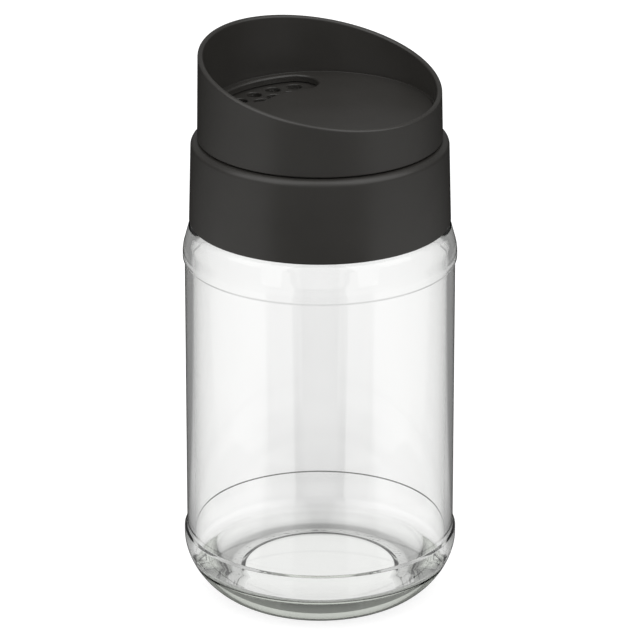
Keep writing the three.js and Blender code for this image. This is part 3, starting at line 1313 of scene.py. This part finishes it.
@dataclass(frozen=True)
class FloorGlow:
    """How bright the floor looks to each kind of ray, in shares of white: an even white to the camera, and
    painted light and shade to rays through or off the glass and plastic.

    Seen straight through the glass, the floor is pale with painted soft upright stripes of light and shade
    and a painted shadow round the jar's foot. Light that the glass or the plastic throws back meets painted
    reflections on the floor by its angle from the front, where a painted dark gap lies between the two soft
    lamps. Where it starts and ends to fade is in metres.
    """

    plain: float = 0.80
    matt_share: float = 0.45

    # Painted light and shade straight through the glass: degrees from the front, and the share of the second
    # table below.
    painted_beside_share_stops: tuple[Point, ...] = (
        (0, 0.0), (60, 0.0), (110, 1.0), (164, 1.0), (168, 0.75), (174, 0.3), (176, 0.0),
    )
    # Painted shadow round the foot, in millimetres from the jar's axis, in front and straight behind, and
    # then at the sides.
    painted_through_glass_stops: tuple[Point, ...] = (
        (0, 1.0), (20.0, 1.0), (20.8, 0.5), (23.2, 0.5), (24.0, 0.3), (26.5, 0.35), (28.0, 0.6),
        (32.0, 0.78), (60, 0.78), (75, 0.82), (100, 0.90), (130, 0.95), (200, 0.98),
    )
    painted_beside_shade_stops: tuple[Point, ...] = (
        (0, 1.0), (20.0, 1.0), (20.8, 0.7), (23.2, 0.7), (24.0, 0.4), (26.5, 0.45), (28.0, 0.75),
        (31.0, 0.95), (50, 1.0), (200, 1.0),
    )
    # Painted stripes of light and shade, in millimetres to the left or right of the jar's middle, spread
    # wider farther from the axis.
    painted_stripe_levels: tuple[Point, ...] = (
        (0, 1.0), (3.2, 0.99), (4.1, 0.97), (5.1, 0.93), (5.8, 0.925), (6.3, 1.0), (7.8, 1.0),
        (9.7, 0.99), (10.6, 0.985), (12.0, 0.975), (12.5, 1.0), (20.0, 1.0),
    )
    side_spread: float = 3.7
    side_start: float = 0.045
    side_full: float = 0.060

    # Painted reflections and painted shade thrown back inside the glass: degrees from the front, far from
    # the foot and near it.
    painted_inside_reflection_stops: tuple[Point, ...] = (
        (0, 0.0), (18, 0.0), (21, 0.85), (46, 0.85), (49, 1.0), (92, 1.0), (112, 0.8), (128, 0.68),
        (132.5, 0.66), (135.5, 0.46), (138, 0.34), (144, 0.34), (150, 0.4), (160, 0.4),
    )
    painted_foot_shade_stops: tuple[Point, ...] = (
        (0, 0.35), (18, 0.35), (38, 0.66), (50, 0.62), (58, 0.5), (75, 0.7), (90, 0.9), (108, 0.9),
        (115, 0.3), (180, 0.3),
    )
    # Painted shadow under the bearing ring, in millimetres from the axis, near the foot.
    painted_ring_shadow_stops: tuple[Point, ...] = (
        (0, 1.0), (20.0, 1.0), (20.8, 0.5), (24.0, 0.4), (27.0, 0.55), (30.0, 1.0), (200, 1.0),
    )
    painted_foot_shade_reach: float = 0.042
    painted_foot_shade_fade: float = 0.098

    # Painted reflections thrown back by outer faces: degrees from the front, far from the jar and near it.
    painted_far_reflection_stops: tuple[Point, ...] = (
        (0, 0.4), (46, 0.45), (60, 0.45), (80, 0.3), (92, 0.2), (112, 0.08), (135, 0.03), (180, 0.0),
    )
    painted_near_reflection_stops: tuple[Point, ...] = (
        (0, 0.0), (40, 0.0), (44, 0.9), (60, 0.9), (92, 0.8), (112, 0.4), (135, 0.1), (160, 0.0),
    )
    heel_reach: float = 0.050
    heel_fade: float = 0.090
    near_reach: float = 0.32
    far_reach: float = 0.44

    def material(self) -> bpy.types.Material:
        """Builds the floor's material.

        Returns:
            The material.
        """
        graph = NodeGraph("floor_white_painted_shade")
        rays = graph.add("ShaderNodeLightPath").outputs
        # Camera rays see an even white; rays through or off the glass and the plastic see painted light and
        # shade.
        reflected = graph.math("GREATER_THAN", rays["Glossy Depth"], 0.5)
        in_glass = graph.math("GREATER_THAN", rays["Transmission Depth"], 0.5)
        seen = graph.math("MAXIMUM", rays["Is Transmission Ray"], rays["Is Glossy Ray"])
        thrown_back = graph.blend(in_glass, self.outside(graph), self.inside(graph))
        by_glass = graph.blend(reflected, self.through(graph), thrown_back)
        by_lens = graph.math("MULTIPLY", rays["Is Camera Ray"], self.plain)
        strength = graph.math("ADD", graph.math("MULTIPLY", seen, by_glass), by_lens)
        matt = graph.add("ShaderNodeBsdfDiffuse", {"Color": (self.matt_share,) * 3 + (1.0,)})
        glow = graph.add("ShaderNodeEmission")
        both = graph.add("ShaderNodeAddShader")
        choose = graph.add("ShaderNodeMixShader")
        graph.link(strength, glow.inputs["Strength"])
        graph.link(matt.outputs[0], both.inputs[0])
        graph.link(glow.outputs[0], both.inputs[1])
        graph.link(seen, choose.inputs[0])
        graph.link(both.outputs[0], choose.inputs[1])
        graph.link(glow.outputs[0], choose.inputs[2])
        graph.link(choose.outputs[0], graph.output.inputs["Surface"])
        return graph.material

    def through(self, graph: NodeGraph) -> bpy.types.NodeSocket:
        """Adds the painted light and shade seen straight through the glass.

        Args:
            graph: The floor's node tree.

        Returns:
            The brightness.
        """
        # Painted shadow round the foot and painted stripes, seen straight through the glass.
        ahead = self.by_distance(graph, self.painted_through_glass_stops)
        beside = self.by_distance(graph, self.painted_beside_shade_stops)
        level = graph.blend(self.by_angle(graph, self.painted_beside_share_stops), ahead, beside)
        return graph.math("MULTIPLY", level, self.stripes(graph))

    def stripes(self, graph: NodeGraph) -> bpy.types.NodeSocket:
        """Adds the painted soft upright stripes of light and shade behind the jar.

        Args:
            graph: The floor's node tree.

        Returns:
            Their brightness.
        """
        parts = graph.add("ShaderNodeSeparateXYZ")
        graph.link(graph.add("ShaderNodeTexCoord").outputs["Object"], parts.inputs[0])
        distance = self.distance(graph)
        spread = graph.math("ADD", graph.math("MULTIPLY", distance, self.side_spread), 1.0)
        across = graph.math("DIVIDE", graph.math("ABSOLUTE", parts.outputs["X"]), spread)
        level = graph.curve(across, self.painted_stripe_levels, self.painted_stripe_levels[-1][0], MM)
        return graph.blend(graph.rise(distance, self.side_start, self.side_full), 1.0, level)

    def inside(self, graph: NodeGraph) -> bpy.types.NodeSocket:
        """Adds the painted reflections and painted shade that rays thrown back inside the glass see.

        Args:
            graph: The floor's node tree.

        Returns:
            The brightness.
        """
        # Painted shadow near the foot, blending into painted reflections farther away.
        away = graph.rise(self.distance(graph), self.painted_foot_shade_reach, self.painted_foot_shade_fade)
        ring = self.by_distance(graph, self.painted_ring_shadow_stops)
        under = graph.math("MULTIPLY", self.by_angle(graph, self.painted_foot_shade_stops), ring)
        return graph.blend(away, under, self.by_angle(graph, self.painted_inside_reflection_stops))

    def outside(self, graph: NodeGraph) -> bpy.types.NodeSocket:
        """Adds the painted reflections that outer faces throw back.

        Args:
            graph: The floor's node tree.

        Returns:
            The brightness.
        """
        # Painted reflections on the floor, kept dark next to the heel as a painted shadow.
        distance = self.distance(graph)
        off_heel = graph.rise(distance, self.heel_reach, self.heel_fade)
        near = graph.math("MULTIPLY", self.by_angle(graph, self.painted_near_reflection_stops), off_heel)
        far = self.by_angle(graph, self.painted_far_reflection_stops)
        return graph.blend(graph.rise(distance, self.near_reach, self.far_reach), near, far)

    def distance(self, graph: NodeGraph) -> bpy.types.NodeSocket:
        """Adds the distance from the jar's axis.

        Args:
            graph: The floor's node tree.

        Returns:
            The distance in metres.
        """
        length = graph.add("ShaderNodeVectorMath", operation="LENGTH")
        graph.link(graph.add("ShaderNodeTexCoord").outputs["Object"], length.inputs[0])
        return length.outputs["Value"]

    def by_angle(self, graph: NodeGraph, stops: Sequence[Point]) -> bpy.types.NodeSocket:
        """Adds the brightness by angle from the front.

        Args:
            graph: The floor's node tree.
            stops: Pairs of degrees and brightness.

        Returns:
            The brightness.
        """
        away = graph.add("ShaderNodeVectorMath", operation="NORMALIZE")
        front = graph.add("ShaderNodeVectorMath", {1: (0.0, -1.0, 0.0)}, operation="DOT_PRODUCT")
        graph.link(graph.add("ShaderNodeTexCoord").outputs["Object"], away.inputs[0])
        graph.link(away.outputs[0], front.inputs[0])
        angle = graph.math("ARCCOSINE", front.outputs["Value"])
        return graph.curve(angle, stops, 180, math.radians(1))

    def by_distance(self, graph: NodeGraph, stops: Sequence[Point]) -> bpy.types.NodeSocket:
        """Adds the brightness by distance from the jar's axis.

        Args:
            graph: The floor's node tree.
            stops: Pairs of millimetres and brightness.

        Returns:
            The brightness.
        """
        return graph.curve(self.distance(graph), stops, stops[-1][0], MM)


@dataclass(frozen=True)
class Lamp:
    """A soft square lamp that points at the jar."""

    name: str
    place: tuple[float, float, float]
    size: float
    power: float

    def hang(self, target: Vector) -> None:
        """Adds the lamp to the scene.

        Args:
            target: The place that it points at, in metres.
        """
        data = bpy.data.lights.new(self.name, "AREA")
        data.size = self.size
        data.energy = self.power
        made = bpy.data.objects.new(self.name, data)
        made.location = self.place
        made.visible_transmission = False
        made.rotation_euler = (target - Vector(self.place)).to_track_quat("-Z", "Y").to_euler()
        bpy.context.scene.collection.objects.link(made)


@dataclass
class Studio:
    """The pale floor, the soft lights and the camera of the picture."""

    floor_reach: float = 4.0
    camera_place: tuple[float, float, float] = (0.0, -1.2397, 0.5650)
    camera_pitch: float = math.radians(68.475)
    lens: float = 285.1
    film_width: float = 36.0
    view_reach: float = 50.0
    aim: tuple[float, float, float] = (0.0, 0.0, 0.08)
    front_stops: tuple[Point, ...] = ((0.0, 0.2), (0.2, 0.5), (0.5, 1.0), (1.0, 1.0))
    back_stops: tuple[Point, ...] = (
        (0.0, 0.1), (0.2, 0.25), (0.4, 0.3), (0.5, 0.15), (0.7, 0.3), (1.0, 1.0),
    )
    side_fade: tuple[float, float] = (-0.3, 0.3)
    # Rays inside the glass see painted light and shade by height instead of the room: painted reflections
    # where thrown back, painted shade where they went straight through.
    painted_glass_reflection_stops: tuple[Point, ...] = ((0.0, 1.0), (0.42, 1.0), (0.6, 0.5), (1.0, 0.5))
    painted_through_glass_stops: tuple[Point, ...] = (
        (0.0, 1.0), (0.08, 1.0), (0.2, 0.7), (0.28, 0.5), (0.34, 0.42), (0.41, 0.36), (0.5, 0.3),
        (1.0, 0.3),
    )
    lamps: tuple[Lamp, ...] = (
        Lamp("left_lamp", (-1.1, -0.7, 1.0), 1.7, 8.5),
        Lamp("right_lamp", (1.1, -0.7, 1.0), 1.7, 8.5),
        Lamp("top_lamp", (0.0, -0.2, 1.6), 1.6, 5.0),
    )

    def build(self) -> None:
        """Builds the floor, the world, the lamps and the camera."""
        self.floor()
        self.world()
        for lamp in self.lamps:
            lamp.hang(Vector(self.aim))
        self.camera()

    def camera(self) -> None:
        """Sets the camera at the picture's viewing angle."""
        data = bpy.data.cameras.new("camera")
        data.lens = self.lens
        data.sensor_width = self.film_width
        data.clip_end = self.view_reach
        made = bpy.data.objects.new("camera", data)
        made.location = self.camera_place
        made.rotation_euler = (self.camera_pitch, 0.0, 0.0)
        bpy.context.scene.collection.objects.link(made)
        bpy.context.scene.camera = made

    def floor(self) -> None:
        """Lays the pale floor."""
        reach = self.floor_reach
        corners = [(-reach, -reach, 0), (reach, -reach, 0), (reach, reach, 0), (-reach, reach, 0)]
        sheet = new_object("floor", corners, [(0, 1, 2, 3)])
        sheet.data.materials.append(FloorGlow().material())

    def world(self) -> None:
        """Fills the room with soft light by height; rays inside the glass see painted reflections and
        painted shade by height instead, as on the floor.
        """
        world = bpy.data.worlds.new("studio")
        bpy.context.scene.world = world
        world.use_nodes = True
        graph = NodeGraph("studio", world.node_tree, "ShaderNodeOutputWorld")
        parts = graph.add("ShaderNodeSeparateXYZ")
        graph.link(graph.add("ShaderNodeTexCoord").outputs["Generated"], parts.inputs[0])
        height = parts.outputs["Z"]
        rays = graph.add("ShaderNodeLightPath").outputs
        thrown_back = graph.math("GREATER_THAN", rays["Glossy Depth"], 0.5)
        in_glass = graph.math("GREATER_THAN", rays["Transmission Depth"], 0.5)
        behind = graph.rise(parts.outputs["Y"], *self.side_fade)
        room = graph.blend(behind, graph.ramp(height, self.front_stops), graph.ramp(height, self.back_stops))
        # Painted shade by height straight through the glass, and painted reflections by height where thrown
        # back.
        through = graph.ramp(height, self.painted_through_glass_stops)
        by_glass = graph.blend(thrown_back, through, graph.ramp(height, self.painted_glass_reflection_stops))
        level = graph.blend(in_glass, room, by_glass)
        glow = graph.add("ShaderNodeBackground")
        graph.link(graph.math("MAXIMUM", level, rays["Is Camera Ray"]), glow.inputs["Strength"])
        graph.link(glow.outputs[0], graph.output.inputs[0])


def main() -> None:
    """Builds the studio and every piece, and reports each piece."""
    logging.basicConfig(level=logging.INFO, format="%(name)s: %(message)s")
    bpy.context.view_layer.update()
    scene = bpy.context.scene
    scene.view_settings.view_transform = "Standard"
    Studio().build()
    jar_span = span_of("glass_jar")
    thread = Thread(rim_height=jar_span.top)
    glass = ClearGlass().material()
    plastic = MouldedPlastic().material()
    liner = LinerPlastic().material()
    collar_span = span_of("lid_collar")
    slot = CurvedSlot(radius=21.4, width=12.0, place=math.radians(129), half_span=math.radians(21.5))
    plan = [
        (GlassJar(jar_span, thread), "glass_jar", Body.JAR, Slot.GLASS, glass),
        (SealRing(span_of("seal_ring")), "seal_ring", Body.LINER, Slot.SEAL, liner),
        (ScrewCollar(collar_span, thread, slot), "lid_collar", Body.LID, Slot.PLASTIC, plastic),
        (SlantedDial(span_of("dial"), collar_span.top, slot), "dial", Body.TOP, Slot.PLASTIC, plastic),
    ]
    for maker, node, body, slot, finish in plan:
        piece = maker.build()
        dress(piece, node, body, finish)
        LOG.info("%s stands for %s: %d faces", piece.name, node, len(piece.data.polygons))


if __name__ == "__main__":
    main()
